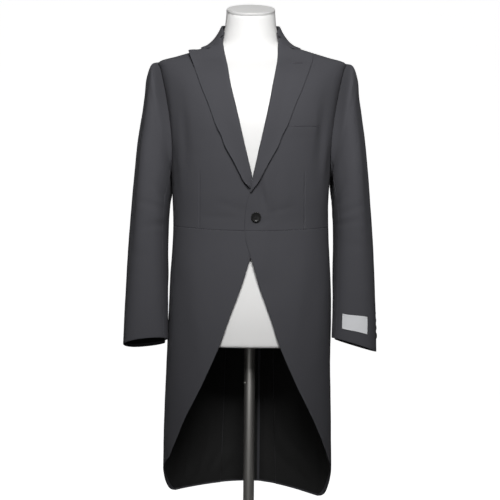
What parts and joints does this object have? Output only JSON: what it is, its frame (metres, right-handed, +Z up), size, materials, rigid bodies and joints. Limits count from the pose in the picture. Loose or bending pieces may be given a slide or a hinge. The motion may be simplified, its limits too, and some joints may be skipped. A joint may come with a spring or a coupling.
{
  "type": "morning coat on a limbless dress form and stand",
  "caption": "Charcoal single-breasted cutaway morning coat with peaked lapels, on a white limbless dress form on a steel pole and round base.",
  "frame": {"origin": "centre of the base plate's underside, on the floor", "axes": "+Z up along the pole; -Y towards the coat's front; +X towards the wearer's left"},
  "size_m": [0.5784, 0.38, 1.5982],
  "materials": {
    "charcoal_wool": "fine plain-woven wool, matt with a soft sheen",
    "black_satin": "smooth satin lining",
    "black_button": "polished dark horn look",
    "white_label": "blank woven tape",
    "white_form": "smooth white shell with a soft gloss",
    "brushed_steel": "satin steel"
  },
  "bodies": {
    "root": {"back_left": "charcoal_wool", "back_right": "charcoal_wool", "breast_welt": "charcoal_wool", "collar": "charcoal_wool", "cuff_button_left_1": "black_button", "cuff_button_left_2": "black_button", "cuff_button_left_3": "black_button", "cuff_button_left_4": "black_button", "cuff_button_right_1": "black_button", "cuff_button_right_2": "black_button", "cuff_button_right_3": "black_button", "cuff_button_right_4": "black_button", "cuff_lining_left": "black_satin", "cuff_lining_right": "black_satin", "forepart_left": "charcoal_wool", "forepart_right": "charcoal_wool", "form_torso": "white_form", "front_button": "black_button", "hip_button_left": "black_button", "hip_button_right": "black_button", "lapel_left": "charcoal_wool", "lapel_right": "charcoal_wool", "neck_cap": "white_form", "side_body_left": "charcoal_wool", "side_body_right": "charcoal_wool", "skirt_left": "charcoal_wool", "skirt_lining_left": "black_satin", "skirt_lining_right": "black_satin", "skirt_right": "charcoal_wool", "sleeve_label": "white_label", "stand_base": "brushed_steel", "stand_pole": "brushed_steel", "tail_lining_left": "black_satin", "tail_lining_right": "black_satin", "top_sleeve_left": "charcoal_wool", "top_sleeve_right": "charcoal_wool", "under_sleeve_left": "charcoal_wool", "under_sleeve_right": "charcoal_wool"}
  },
  "joints": []
}
